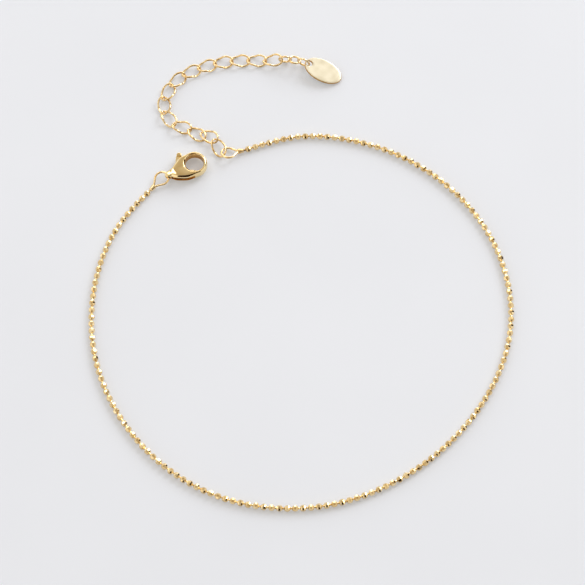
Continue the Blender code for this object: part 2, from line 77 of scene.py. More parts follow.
def chain_line(points):
    """The natural cubic through the points: arc lengths, places and directions along it.

    Between two points the place is a cubic in the chord length whose second derivative is
    a straight blend of the values that make the slopes meet at every point.
    """
    chords = np.linalg.norm(np.diff(points, axis=0), axis=1)
    at = np.concatenate(([0.0], np.cumsum(chords)))
    n = len(points)
    system = np.diag(np.concatenate(([1.0], 2 * (chords[:-1] + chords[1:]), [1.0])))
    system += np.diag(np.concatenate((chords[:-1], [0.0])), -1)
    system += np.diag(np.concatenate(([0.0], chords[1:])), 1)
    slopes = np.diff(points, axis=0) / chords[:, None]
    ends = np.zeros((1, 2))
    bend = np.linalg.solve(system, np.concatenate((ends, 6 * np.diff(slopes, axis=0), ends)))
    t = np.linspace(0.0, at[-1], LINE_SAMPLES)
    span = np.clip(np.searchsorted(at, t) - 1, 0, n - 2)
    step, before = chords[span][:, None], (t - at[span])[:, None]
    after = step - before
    place = (bend[span] * after**3 + bend[span + 1] * before**3) / (6 * step)
    place += (points[span] / step - bend[span] * step / 6) * after
    place += (points[span + 1] / step - bend[span + 1] * step / 6) * before
    along = np.gradient(place, t, axis=0)
    along /= np.linalg.norm(along, axis=1)[:, None]
    arcs = np.concatenate(([0.0], np.cumsum(np.linalg.norm(np.diff(place, axis=0), axis=1))))
    return arcs, place, along


def wrap_grid(rows, sides, closed_rows=False):
    """Quads of a tube: row i and the next one, corner k and the next one round."""
    i = np.arange(rows if closed_rows else rows - 1)[:, None]
    k = np.arange(sides)[None, :]
    after, beside = (i + 1) % rows, (k + 1) % sides
    quads = np.stack(np.broadcast_arrays(i * sides + k, i * sides + beside,
                                         after * sides + beside, after * sides + k), -1)
    return quads.reshape(-1, 4)


def bead_chain_surface():
    """Every bead is six rings of eight corners whose radius follows a ball cut flat.

    The two middle rings are as wide as each other, so the belt's facets lie along the chain.
    Each bead is turned about the chain by its own angle, the golden share of a turn more
    than the last, and each ring's radius differs a little, by the sine of large steps.
    """
    arcs, place, along = chain_line(CHAIN_ROUTE)
    length = arcs[-1]
    beaded = length - 2 * CHAIN_TAIL
    count = round(beaded / BEAD_PITCH)
    pitch = beaded / count
    middle = CHAIN_TAIL + (np.arange(count) + 0.5) * pitch
    offset = BEAD_RINGS * BEAD_LENGTH
    corner = FACET_REACH * BEAD_RADIUS / math.cos(math.pi / BEAD_SIDES)
    shoulder = BEAD_SHOULDER * corner
    radius = np.array([NECK_RADIUS, shoulder, corner, corner, shoulder, NECK_RADIUS])
    bead, ring = np.arange(count), np.arange(len(BEAD_RINGS))
    own_turn = np.repeat(bead * GOLDEN_STEP % 1.0 - 0.5, len(BEAD_RINGS)) * TURN_SPREAD
    scatter = bead[:, None] * SCATTER_STEPS[0] + ring * SCATTER_STEPS[1]
    uneven = 1.0 + CUT_SPREAD * np.sin(scatter)
    at = np.concatenate(([0.0], (middle[:, None] + offset).ravel(), [length]))
    wide = np.concatenate(([NECK_RADIUS], (radius * uneven).ravel(), [NECK_RADIUS]))
    turn = np.concatenate((own_turn[:1], own_turn, own_turn[-1:]))
    spot = np.stack([np.interp(at, arcs, place[:, c]) for c in (0, 1)], 1)
    way = np.stack([np.interp(at, arcs, along[:, c]) for c in (0, 1)], 1)
    angle = 2 * math.pi * (np.arange(BEAD_SIDES) + turn[:, None]) / BEAD_SIDES
    out, up = wide[:, None] * np.cos(angle), wide[:, None] * np.sin(angle)
    points = np.stack([spot[:, :1] - way[:, 1:] * out, spot[:, 1:] + way[:, :1] * out,
                       np.maximum(CHAIN_HEIGHT + up, FLOOR_CLEARANCE)], -1)
    ends = [tuple(range(BEAD_SIDES))[::-1],
            tuple(range((len(at) - 1) * BEAD_SIDES, len(at) * BEAD_SIDES))]
    return points.reshape(-1, 3), wrap_grid(len(at), BEAD_SIDES).tolist() + ends


def add_piece(name, points, faces, finish, smooth_below=None):
    """An object of that name from points and faces, its edges softer than the angle smooth."""
    mesh = bpy.data.meshes.new(name)
    mesh.from_pydata(points.tolist() if isinstance(points, np.ndarray) else points, [], faces)
    mesh.materials.append(finish)
    piece = bpy.data.objects.new(name, mesh)
    bpy.context.scene.collection.objects.link(piece)
    if smooth_below:
        mesh.shade_smooth()
        mesh.set_sharp_from_angle(angle=math.radians(smooth_below))
    return piece


def linear(hex_colour):
    """An sRGB hex colour as linear red, green, blue and alpha."""
    srgb = np.array([int(hex_colour[i:i + 2], 16) for i in (1, 3, 5)]) / 255
    values = np.where(srgb <= 0.04045, srgb / 12.92, ((srgb + 0.055) / 1.055) ** 2.4)
    return (*values.tolist(), 1.0)


def add_node(tree, kind, settings=None, **links):
    """A node of that kind in the tree: settings by socket or property, links by socket."""
    node = tree.nodes.new(kind)
    for key, value in (settings or {}).items():
        if key in node.inputs:
            node.inputs[key].default_value = value
        else:
            setattr(node, key, value)
    for key, source in links.items():
        tree.links.new(source, node.inputs[key.replace("_", " ")])
    return node


def plated_gold(name, colour, deep, rough, grain, bump):
    """Gold plate over silver: two close golds, and polish that varies over the grain size.

    The grain is the real size in metres of the soft patches.  The colour and the roughness
    follow one soft noise of that size, the roughness from a quarter less to a third more
    than the given one.  A finer noise, a fifth of the grain, gives the faint unevenness that
    polishing leaves, a fortieth of the grain high at a bump of 1.
    """
    finish = bpy.data.materials.new(name)
    finish.use_nodes = True
    tree = finish.node_tree
    shader = tree.nodes["Principled BSDF"]
    shader.inputs["Metallic"].default_value = 1.0
    here = add_node(tree, "ShaderNodeTexCoord").outputs["Object"]
    soft = add_node(tree, "ShaderNodeTexNoise", {"Scale": 1 / grain, "Detail": 2.0}, Vector=here)
    tint = add_node(tree, "ShaderNodeValToRGB", Fac=soft.outputs["Fac"])
    tint.color_ramp.elements[0].position, tint.color_ramp.elements[1].position = 0.3, 0.7
    tint.color_ramp.elements[0].color = linear(deep)
    tint.color_ramp.elements[1].color = linear(colour)
    spread = add_node(tree, "ShaderNodeMapRange", {"To Min": rough * 0.75, "To Max": rough * 1.35},
                      Value=soft.outputs["Fac"])
    fine = add_node(tree, "ShaderNodeTexNoise", {"Scale": 5 / grain, "Detail": 3.0}, Vector=here)
    relief = add_node(tree, "ShaderNodeBump", {"Strength": bump, "Distance": grain / 40},
                      Height=fine.outputs["Fac"])
    tree.links.new(tint.outputs["Color"], shader.inputs["Base Color"])
    tree.links.new(spread.outputs["Result"], shader.inputs["Roughness"])
    tree.links.new(relief.outputs["Normal"], shader.inputs["Normal"])
    return finish


# Diamond-cut gold plate: flat facets from the cutting wheel, so crisp and nearly mirror-bright
cut_gold = plated_gold("diamond_cut_gold_plate", "#F8E3B6", deep="#E6C486",
                       rough=0.06, grain=0.0009, bump=0.08)

bead_chain = add_piece("cut_bead_chain", *bead_chain_surface(), cut_gold)
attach(bead_chain, "anklet")
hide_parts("bead_chain")


# End rings
# Each end of the chain is gripped in a small tapered sleeve, and a drop-shaped wire loop is
# soldered to the sleeve's wide end.  Sleeve and loop are one piece of plated silver.

RING_WIRE_RADIUS = 0.00021
RING_RADIUS = 0.00130
SLEEVE_LENGTH = 0.00115
# Radii of the sleeve's tip, base and bore, and how deep the bore goes
SLEEVE_TIP = 0.00036
SLEEVE_BASE = 0.00049
SLEEVE_BORE = 0.00024
SLEEVE_DEPTH = 0.00039
# How far from the sleeve's face the two legs of the drop meet
LEGS_MEET = 0.00008


def turned(heading, climb=0.0, roll=0.0):
    """Turning matrix: X to the heading, then up by the climb, then a roll about it (degrees)."""
    h, c, r = np.radians([heading, -climb, roll])
    about_z = np.array([[np.cos(h), -np.sin(h), 0], [np.sin(h), np.cos(h), 0], [0, 0, 1]])
    about_y = np.array([[np.cos(c), 0, np.sin(c)], [0, 1, 0], [-np.sin(c), 0, np.cos(c)]])
    about_x = np.array([[1, 0, 0], [0, np.cos(r), -np.sin(r)], [0, np.sin(r), np.cos(r)]])
    return about_z @ about_y @ about_x


def closed_line(knots, count):
    """A smooth closed line through the knots, its points equally spaced.

    It is the cubic whose slopes meet all the way round, worked out knot by knot on the
    chord length, then sampled evenly by length.
    """
    knots = np.asarray(knots, float)
    chords = np.linalg.norm(np.roll(knots, -1, 0) - knots, axis=1)
    before = np.roll(chords, 1)
    rows = np.arange(len(knots))
    system = np.zeros((len(knots), len(knots)))
    system[rows, rows] = 2 * (before + chords)
    system[rows, rows - 1] += before
    system[rows, (rows + 1) % len(knots)] += chords
    slopes = (np.roll(knots, -1, 0) - knots) / chords[:, None]
    bend = np.linalg.solve(system, 6 * (slopes - np.roll(slopes, 1, 0)))
    u = np.linspace(0, 1, 60, endpoint=False)[None, :, None]
    h = chords[:, None, None]
    b0, b1 = bend[:, None], np.roll(bend, -1, 0)[:, None]
    p0, p1 = knots[:, None], np.roll(knots, -1, 0)[:, None]
    line = (b0 * (h * (1 - u))**3 + b1 * (h * u)**3) / (6 * h)
    line = line + (p0 / h - b0 * h / 6) * h * (1 - u) + (p1 / h - b1 * h / 6) * h * u
    line = line.reshape(-1, knots.shape[1])
    steps = np.linalg.norm(np.roll(line, -1, 0) - line, axis=1)
    at = np.concatenate(([0.0], np.cumsum(steps)))
    want = np.linspace(0, at[-1], count, endpoint=False)
    whole = np.concatenate((line, line[:1]))
    return np.stack([np.interp(want, at, whole[:, c]) for c in range(knots.shape[1])], 1)


def wire_loop(line, radius, sides=14):
    """A round wire along a closed line: a circle square to the line at each of its points."""
    along = np.roll(line, -1, 0) - np.roll(line, 1, 0)
    along /= np.linalg.norm(along, axis=1)[:, None]
    up = np.array([0.0, 0.0, 1.0]) - along * along[:, 2:]
    up /= np.linalg.norm(up, axis=1)[:, None]
    beside = np.cross(along, up)
    angle = 2 * np.pi * np.arange(sides) / sides
    points = line[:, None] + radius * (np.cos(angle)[None, :, None] * up[:, None]
                                       - np.sin(angle)[None, :, None] * beside[:, None])
    return points.reshape(-1, 3), wrap_grid(len(line), sides, closed_rows=True)


def turned_bar(profile, sides=28):
    """A turned piece about X: the profile's radius carried round, closed from end to end."""
    profile = np.array(profile)
    angle = -2 * np.pi * np.arange(sides) / sides
    x = np.broadcast_to(profile[:, :1], (len(profile), sides))
    points = np.stack([x, profile[:, 1:] * np.cos(angle), profile[:, 1:] * np.sin(angle)], -1)
    return points.reshape(-1, 3), wrap_grid(len(profile), sides, closed_rows=True)


def together(*surfaces):
    """One set of points and faces from several."""
    points, faces, first = [], [], 0
    for some_points, some_faces in surfaces:
        points.append(some_points)
        faces += [tuple(int(v) + first for v in face) for face in some_faces]
        first += len(some_points)
    return np.concatenate(points), faces


def end_ring_surface(reach, place, turn):
    """The loop is a drop: a circle and its two tangents from the sleeve; the sleeve a taper.

    The sleeve's profile runs from its wide end along the outside to its tip and back up its
    bore, and closes on itself by a fine channel along the axis, within the metal.
    """
    tangent = math.acos(RING_RADIUS / reach)
    bow = np.linspace(math.pi - tangent, tangent - math.pi, 40)
    circle = np.stack([reach + RING_RADIUS * np.cos(bow), RING_RADIUS * np.sin(bow)], 1)
    legs = [circle[-1] * (1 - f) for f in (0.3, 0.6)]
    legs += [(LEGS_MEET, 0.0)] + [circle[0] * f for f in (0.4, 0.7)]
    flat = closed_line(np.concatenate((circle[1:-1:3], circle[-1:], legs, circle[:1])), 120)
    line = np.concatenate((flat, np.zeros((len(flat), 1))), 1)
    base, tip = RING_WIRE_RADIUS, RING_WIRE_RADIUS - SLEEVE_LENGTH
    sleeve = turned_bar([
        (base - 0.02e-3, 0.00010), (base, 0.6 * SLEEVE_BASE), (base - 0.03e-3, 0.88 * SLEEVE_BASE),
        (base - 0.10e-3, SLEEVE_BASE), (base - 0.30e-3, 0.98 * SLEEVE_BASE),
        (tip + 0.16e-3, SLEEVE_TIP), (tip + 0.11e-3, 1.10 * SLEEVE_TIP),
        (tip + 0.04e-3, 1.10 * SLEEVE_TIP), (tip, SLEEVE_TIP), (tip, SLEEVE_BORE),
        (tip + SLEEVE_DEPTH, SLEEVE_BORE), (tip + SLEEVE_DEPTH, 0.00005)])
    points, faces = together(wire_loop(line, RING_WIRE_RADIUS), sleeve)
    return points @ turn.T + place, faces


# Buffed gold plate on small wire and turned findings: bright, with the soft look of tumbling
wire_gold = plated_gold("tumbled_gold_plate", "#F8E2B6", deep="#E6C184",
                        rough=0.06, grain=0.0012, bump=0.06)

# Piece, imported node, reach from the sleeve to the loop's centre, place in millimetres, and
# heading, climb and roll in degrees
END_RINGS = [
    ("clasp_end_ring", "clasp_ring", 0.00220, (-27.619, 17.865, 0.627), (47.5, 7.413, -4.0)),
    ("extender_end_ring", "extender_ring", 0.00200, (-11.772, 25.416, 0.614), (193.5, 6.5, 16.5)),
]
for name, node, reach, place, angles in END_RINGS:
    ring = add_piece(name, *end_ring_surface(reach, np.array(place) * 0.001, turned(*angles)),
                     wire_gold, 35)
    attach(ring, "anklet")
    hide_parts(node)


# Clasp body
# Lobster clasp cast in silver, polished to a mirror and plated.  Tail, two cheeks and hook
# are one casting, with a slot between the cheeks for the lever and a hole through the tail.

CLASP_PLACE = np.array([-24.983, 20.023, 1.100]) * 0.001
CLASP_TURN = turned(19.5)
CLASP_THICKNESS = 0.00220
HOOK_THICKNESS = 0.00180
TAIL_THICKNESS = 0.00150
TAIL_REACH = 0.00060
TAIL_WIDTH = 0.00105
TAIL_HOLE = 0.00045
EYE = np.array([0.00540, 0.00050])
EYE_RADIUS = 0.00170
HOOK_RADIUS = 0.00246
# Angles from the eye's centre at which the hook's outer arc starts and ends
SHOULDER = 112.0
HOOK_TIP = -92.0
LEVER_THICKNESS = 0.00070
LEVER_GAP = 0.00010
PIVOT = np.array([0.00220, 0.00030])
PIN_RADIUS = 0.00030
PIN_CLEARANCE = 0.00006
# The pin's hole reaches this far to each side of the clasp's middle
PIN_HOLE_DEPTH = 0.00074
SLOT_START = 0.0005
# Widths of the worked rims on the flank and at the eye, and share the face falls at them
CHEEK_RIM = 0.00062
EYE_EDGE = 0.00033
CHEEK_CROWN = 0.10
# The mouth by the hook's tip: distance and angle of its four corners from the eye's centre
MOUTH = [(1.4 * HOOK_RADIUS, -133), (0.95 * EYE_RADIUS, -141), (0.95 * EYE_RADIUS, -92),
         (1.4 * HOOK_RADIUS, -109)]
# How far outside the eye's wall and up it the painted shade of the recesses goes, and from where
# in the slot
SHADE_MARGIN = 0.00006
SHADE_HEIGHT = 0.00078
SHADE_START = 0.00045


def on_arc(centre, radius, start, end, count):
    """Points on an arc, angles in degrees."""
    angle = np.radians(np.linspace(start, end, count))
    return np.stack([centre[0] + radius * np.cos(angle), centre[1] + radius * np.sin(angle)], 1)


def round_hole(centre, radius, count):
    """Points all the way round a circle."""
    return on_arc(centre, radius, 0, 360 - 360 / count, count)


def clasp_outline():
    """Outside of the clasp seen from above: tail arc, nub flank, hook arc and gate flank."""
    half = TAIL_WIDTH / 2
    tail = on_arc((half - TAIL_REACH, 0.0), half, 255, 105, 6)
    hook = on_arc(EYE, HOOK_RADIUS, SHOULDER, HOOK_TIP, 14)
    shoulder, foot = hook[0], hook[-1]
    nub_flank = np.array([(0.12, 0.05), (0.28, 0.27), (0.45, 0.58), (0.60, 0.83), (0.78, 0.97)])
    gate_flank = np.array([(0.82, 1.06), (0.62, 1.05), (0.38, 0.78), (0.18, 0.42), (0.07, 0.12)])
    nub_side = np.stack([shoulder[0] * nub_flank[:, 0],
                         half + (shoulder[1] - half) * nub_flank[:, 1]], 1)
    gate_side = np.stack([foot[0] * gate_flank[:, 0],
                          -half + (foot[1] + half) * gate_flank[:, 1]], 1)
    return np.concatenate((tail, nub_side, hook, gate_side))


def clasp_half_thickness(x):
    """Half the clasp's thickness at x: thin tail, thick cheeks, and a hook that slims down.

    Straight slopes between five places, evened out by a running mean.
    """
    at = np.array([-1.0, 0.25, 1.1, 2.8, 8.84]) * 0.001
    high = np.array([TAIL_THICKNESS, TAIL_THICKNESS, CLASP_THICKNESS, CLASP_THICKNESS,
                     HOOK_THICKNESS]) / 2
    fine = np.linspace(at[0], at[-1], 400)
    flat = np.interp(fine, at, high)
    soft = np.convolve(np.pad(flat, 20, mode="edge"), np.ones(41) / 41, mode="valid")
    return np.interp(x, fine, soft)


# Wall and ground chamfer of the cheeks, on the flank and round the eye: share of the rim's
# width, and of the half thickness, a row for each step of the quarter ellipse they replace
FLANK = np.array([(0.00, 0.00), (0.02, 0.25), (0.07, 0.48), (0.13, 0.62), (0.19, 0.68),
                  (0.40, 0.80), (0.61, 0.91), (0.78, 0.975), (1.00, 1.00)])
EYE_RIM = np.array([(0.00, 0.00), (0.03, 0.40), (0.08, 0.68), (0.14, 0.78), (0.20, 0.825),
                    (0.45, 0.885), (0.70, 0.945), (0.85, 0.98), (1.00, 1.00)])


def holed_slab(outer, centre, radius, half_thickness, rim, inner_rim, crown=0.0, chamfer=0.0):
    """A slab between an outline and a round hole, with rounded rims and a crowned face.

    Each outline point is joined to the hole's edge straight towards the hole's centre.  On
    the way the height rises over the rim as a quarter ellipse, or where the slab is wide as
    a wall with a ground chamfer.  It stays near the half thickness, lifted by the crown in
    the middle, and falls over the inner rim.
    """
    away = outer - centre
    distance = np.linalg.norm(away, axis=1)
    inner = centre + away / distance[:, None] * radius
    width = distance - radius
    e_out = np.minimum(rim, width / 2)[:, None]
    e_in = np.minimum(inner_rim, width / 2)[:, None]
    quarter = np.linspace(0, np.pi / 2, len(FLANK))[None, :]
    flat = np.linspace(0, 1, 12)[None, 1:-1]
    middle = width[:, None] - e_out - e_in
    wide = chamfer * np.clip(middle / rim, 0, 1)
    rim_depth = (1 - wide) * (1 - np.cos(quarter)) + wide * FLANK[None, :, 0]
    rim_lift = (1 - wide) * np.sin(quarter) + wide * FLANK[None, :, 1]
    eye_depth = (1 - wide) * (1 - np.cos(quarter)) + wide * EYE_RIM[None, :, 0]
    eye_lift = (1 - wide) * np.sin(quarter) + wide * EYE_RIM[None, :, 1]
    depth = np.concatenate((e_out * rim_depth, e_out + middle * flat,
                            width[:, None] - e_in * eye_depth[:, ::-1]), 1)
    lift = np.concatenate((rim_lift, np.ones_like(middle * flat),
                           eye_lift[:, ::-1]), 1)
    share = depth / width[:, None]
    spot = outer[:, None] + (inner - outer)[:, None] * share[:, :, None]
    bulge = 1 - crown * (1 - 4 * share * (1 - share)) * np.clip(middle / rim, 0, 1)
    height = lift * half_thickness(spot[:, :, 0]) * bulge
    top = np.concatenate((spot, height[:, :, None]), 2)
    below = top[:, -2:0:-1] * np.array([1.0, 1.0, -1.0])
    section = np.concatenate((top, below), 1)
    return section.reshape(-1, 3), wrap_grid(len(outer), section.shape[1], closed_rows=True)


def prism(outline, low, high):
    """A straight-sided block on an outline, from one height to another."""
    outline = np.asarray(outline)
    n = len(outline)
    rows = [np.concatenate((outline, np.full((n, 1), z)), 1) for z in (low, high)]
    faces = wrap_grid(2, n).tolist()
    return np.concatenate(rows), faces + [tuple(range(n))[::-1], tuple(range(n, 2 * n))]


def carve(piece, cutters):
    """Cut the cutters out of the piece for good, and throw them away."""
    for cutter in cutters:
        cut = piece.modifiers.new("cut", "BOOLEAN")
        cut.operation, cut.solver, cut.object = "DIFFERENCE", "EXACT", cutter
    graph = bpy.context.evaluated_depsgraph_get()
    carved = bpy.data.meshes.new_from_object(piece.evaluated_get(graph))
    piece.modifiers.clear()
    piece.data = carved
    for cutter in cutters:
        bpy.data.objects.remove(cutter)


def finish_piece(piece, place, turn, angle):
    """Put a piece's mesh in its place, and keep only the edges past the angle sharp."""
    mesh = piece.data
    flat = np.empty(len(mesh.vertices) * 3)
    mesh.vertices.foreach_get("co", flat)
    mesh.vertices.foreach_set("co", (flat.reshape(-1, 3) @ turn.T + place).ravel())
    mesh.shade_smooth()
    mesh.set_sharp_from_angle(angle=math.radians(angle))
    mesh.update()


def round_eye(radius, angle):
    """The point at that distance and angle from the eye's centre."""
    return EYE + radius * np.array([math.cos(math.radians(angle)), math.sin(math.radians(angle))])


# Mirror-polished gold plate over a cast body: the smoothest finish on the piece
mirror_gold = plated_gold("mirror_polished_gold_plate", "#F7E3B2", deep="#EFD298",
                          rough=0.07, grain=0.0030, bump=0.02)
# Painted shade: inside the eye and in the slot the gold is painted deeper and browner, standing in
# for the shade of those recesses, and its polish is rougher
recess_shade_gold = plated_gold("recess_painted_shade_gold_plate", "#D8A75E", deep="#B07A38",
                        rough=0.24, grain=0.0010, bump=0.10)

outline = closed_line(clasp_outline(), 420)[::-1]
clasp = add_piece("polished_clasp_body",
                  *holed_slab(outline, EYE, EYE_RADIUS, clasp_half_thickness, CHEEK_RIM,
                              EYE_EDGE, crown=CHEEK_CROWN, chamfer=1.0), mirror_gold)
mouth = [round_eye(distance, bearing) for distance, bearing in MOUTH]
# The slot runs through to both flanks beside the lever's root, and on the gate's side it
# goes on under the eye's wall, where the gate swings
far, half_slot = 2 * HOOK_RADIUS, LEVER_THICKNESS / 2 + LEVER_GAP
root_x, gate_x = EYE[0] - 1.1 * EYE_RADIUS, EYE[0] - 0.4 * EYE_RADIUS
eye_y = EYE[1] + EYE_RADIUS / 2
slot = [(SLOT_START, -far), (gate_x, -far), (gate_x, eye_y), (root_x, eye_y), (root_x, far),
        (SLOT_START, far)]
pin_hole = round_hole(PIVOT, PIN_RADIUS + PIN_CLEARANCE, 24)
bore_points, bore_faces = prism(round_hole((0, 0), TAIL_HOLE, 48), -2 * TAIL_WIDTH,
                                2 * TAIL_WIDTH)
carve(clasp, [
    add_piece("cut_gap", *prism(mouth, -CLASP_THICKNESS, CLASP_THICKNESS), mirror_gold),
    add_piece("cut_slot", *prism(slot, -half_slot, half_slot), mirror_gold),
    add_piece("cut_pin", *prism(pin_hole, -PIN_HOLE_DEPTH, PIN_HOLE_DEPTH), mirror_gold),
    add_piece("cut_tail", bore_points[:, [0, 2, 1]] * np.array([1, -1, 1]), bore_faces,
              mirror_gold)])
clasp.data.materials.clear()
clasp.data.materials.append(mirror_gold)
clasp.data.materials.append(recess_shade_gold)
spots = np.empty(len(clasp.data.polygons) * 3)
clasp.data.polygons.foreach_get("center", spots)
spots = spots.reshape(-1, 3)
# Faces on the eye's inner wall and in the slot take the deeper, browner gold of painted shade
in_eye = np.linalg.norm(spots[:, :2] - EYE, axis=1) < EYE_RADIUS + SHADE_MARGIN
in_eye &= np.abs(spots[:, 2]) < SHADE_HEIGHT
in_slot = (np.abs(spots[:, 2]) < half_slot + 1e-6) & (spots[:, 0] > SHADE_START)
in_slot &= spots[:, 0] < root_x
clasp.data.polygons.foreach_set("material_index", (in_eye | in_slot).astype(np.int32))
finish_piece(clasp, CLASP_PLACE, CLASP_TURN, 32)
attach(clasp, "anklet")
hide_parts("clasp_body")


# Lever and pin
# The lever is a flat casting between the cheeks: its gate block closes the hook, its thumb
# nub stands out of the other flank, and it turns on a short pin held in the cheeks.

NUB_WIDTH = 0.00098
NUB_REACH = 0.00357
NUB_ANGLE = 70.0
NUB_THICKNESS = 0.00120
GATE_THICKNESS = 0.00186
# Reach of the eased corners seen from above, and radius of the rounded edges
PLATE_CORNER = 0.00018
GATE_CORNER = 0.00014
NUB_CORNER = 0.00010
PLATE_EDGE = 0.00008
GATE_EDGE = 0.00024
NUB_EDGE = 0.00014
# The lever's bore is cut this far to each side of its middle, right through the plate
LEVER_BORE_DEPTH = 0.00050


def soft_block(outline, thickness, edge, corner_steps=4):
    """A block on an outline with rounded edges.

    Rows of the outline run up the wall; near the faces each row moves inwards as the
    quarter circle of the edge does, and the last rows close in flat faces.
    """
    outline = np.asarray(outline)
    along = np.roll(outline, -1, 0) - np.roll(outline, 1, 0)
    along /= np.linalg.norm(along, axis=1)[:, None]
    inwards = np.stack([-along[:, 1], along[:, 0]], 1)
    turn = np.linspace(0, np.pi / 2, corner_steps + 1)
    inset = np.concatenate((edge * (1 - np.sin(turn)), edge * (1 - np.cos(turn))))
    height = np.concatenate((-thickness / 2 + edge * (1 - np.cos(turn)),
                             thickness / 2 - edge * (1 - np.sin(turn))))
    rows = outline[None] + inwards[None] * inset[:, None, None]
    z = np.broadcast_to(height[:, None, None], (len(inset), len(outline), 1))
    n = len(outline)
    faces = wrap_grid(len(inset), n).tolist()
    faces += [tuple(range(n))[::-1], tuple(range((len(inset) - 1) * n, len(inset) * n))]
    return np.concatenate((rows, z), 2).reshape(-1, 3), faces


def eased(corners, radius, steps=5):
    """A closed outline with each of its corners cut by a smooth curve of that reach."""
    corners = np.asarray(corners)
    back = np.roll(corners, 1, 0) - corners
    ahead = np.roll(corners, -1, 0) - corners
    reach_back = np.minimum(radius, 0.45 * np.linalg.norm(back, axis=1))[:, None]
    reach_ahead = np.minimum(radius, 0.45 * np.linalg.norm(ahead, axis=1))[:, None]
    a = corners + back / np.linalg.norm(back, axis=1)[:, None] * reach_back
    b = corners + ahead / np.linalg.norm(ahead, axis=1)[:, None] * reach_ahead
    t = np.linspace(0, 1, steps)[None, :, None]
    curve = (1 - t)**2 * a[:, None] + 2 * t * (1 - t) * corners[:, None] + t**2 * b[:, None]
    return curve.reshape(-1, 2)


# Outlines seen from above, from the pivot: the plate in shares of the hook's radius, and the
# gate block's four corners in millimetres
lever_plate = np.array([
    (-0.62, -0.42), (-0.10, -0.62), (0.50, -0.84), (0.86, -0.62), (0.70, -0.42),
    (0.38, -0.19), (0.35, 0.26), (0.44, 0.73), (0.53, 1.20), (0.28, 1.24),
    (0.15, 1.10), (-0.06, 0.58), (-0.31, 0.19), (-0.34, -0.04), (-0.52, -0.22),
]) * HOOK_RADIUS
gate_corners = np.array([
    (2.590, -2.103), (3.034, -1.431), (1.973, -0.933), (1.355, -1.790),
]) * 0.001
nub_turn = turned(NUB_ANGLE)[:2, :2]
half_nub = NUB_WIDTH / 2
nub_outline = np.concatenate((on_arc((NUB_REACH - half_nub, 0), half_nub, -90, 90, 17),
                              [(NUB_REACH - 1.5 * half_nub, half_nub),
                               (NUB_REACH - 1.5 * half_nub, -half_nub)])) @ nub_turn.T
lever = add_piece("polished_lever", *together(
    soft_block(eased(lever_plate, PLATE_CORNER), LEVER_THICKNESS, PLATE_EDGE),
    soft_block(eased(gate_corners, GATE_CORNER), GATE_THICKNESS, GATE_EDGE),
    soft_block(eased(nub_outline, NUB_CORNER, 3), NUB_THICKNESS, NUB_EDGE)), mirror_gold)
lever_bore = round_hole((0, 0), PIN_RADIUS + PIN_CLEARANCE, 24)
carve(lever, [add_piece("cut_bore", *prism(lever_bore, -LEVER_BORE_DEPTH, LEVER_BORE_DEPTH),
                        mirror_gold)])
finish_piece(lever, CLASP_PLACE + CLASP_TURN @ np.array([*PIVOT, 0.0]), CLASP_TURN, 35)
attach(lever, "lever")
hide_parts("clasp_lever")

# The pin is a plain drawn bar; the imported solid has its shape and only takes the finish
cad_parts["lever_pin"].data.materials.clear()
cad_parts["lever_pin"].data.materials.append(mirror_gold)


# Curb links
# The extender is a curb chain: each oval link of round wire is twisted by a quarter turn so
# that it lies flat through its neighbours.  The links are cut, closed and soldered.

LINK_WIRE = 0.00040
LINK_LENGTH = 0.00410
LINK_WIDTH = 0.00270
LINK_GAP = 0.00007
CURB_SNAP = 2.2
# The twist lifts the wire a quarter more than it needs to pass over its neighbour
CURB_LIFT = (LINK_WIRE + LINK_GAP) / 2 * 1.25
FIRST_JOINT = np.array([-14.792, 24.708, 0.548]) * 0.001
# Heading, climb and roll in degrees, and the step from the last middle, in pitches
LINK_ROWS = [
    (117.0, 7.5, -6.5, -0.225, 0.442, 0.065), (147.5, -11.5, -3.5, -0.561, 0.748, 0.008),
    (149.0, -0.5, -1.0, -0.747, 0.208, -0.087), (164.5, 2.5, 0.0, -0.890, 0.435, 0.038),
    (126.5, 3.0, -1.0, -0.760, 0.566, 0.003), (96.5, -0.5, -1.0, -0.293, 0.909, -0.012),
    (68.0, 0.0, 0.0, 0.206, 0.893, -0.028), (45.0, 0.0, 0.0, 0.540, 0.818, 0.0),
    (26.0, 0.0, 0.0, 0.803, 0.572, 0.0), (20.0, 0.0, 0.0, 0.920, 0.390, 0.0),
    (10.5, 0.0, 0.0, 0.961, 0.263, 0.0), (2.0, 0.0, 0.0, 0.991, 0.108, 0.0),
    (-1.0, 0.0, 0.0, 1.000, 0.009, 0.0), (-2.0, 13.5, 0.0, 0.962, -0.025, 0.111),
]
LINK_PITCH = LINK_LENGTH - 2 * LINK_WIRE - LINK_GAP


def curb_line():
    """Middle of a curb link's wire: an oval that rises and falls twice on its way round.

    The height is a hyperbolic tangent of the sine of twice the angle, so the wire is high
    along one diagonal, low along the other, and goes quickly from one to the other.
    """
    angle = 2 * np.pi * np.arange(96) / 96
    wave = np.tanh(CURB_SNAP * np.sin(2 * angle)) / math.tanh(CURB_SNAP)
    return np.stack([(LINK_LENGTH - LINK_WIRE) / 2 * np.cos(angle),
                     (LINK_WIDTH - LINK_WIRE) / 2 * np.sin(angle), CURB_LIFT * wave], 1)


link_points, link_faces = wire_loop(curb_line(), LINK_WIRE / 2)
middle = FIRST_JOINT
for number, (heading, climb, roll, *step) in enumerate(LINK_ROWS, start=1):
    link_turn = turned(heading, climb, roll)
    middle = middle + np.array(step) * LINK_PITCH
    link = add_piece(f"curb_link_{number:02d}", link_points @ link_turn.T + middle,
                     link_faces, wire_gold, 60)
    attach(link, "anklet")
    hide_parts(f"extender_link_{number:02d}")


# Round links and the tag's ring
# Two small round links of the same wire end the extender, and a jump ring carries the tag.

ROUND_RADIUS = 0.00115
# Share of half a pitch from the last curb link's middle to the first round link
LAST_REACH = 0.95
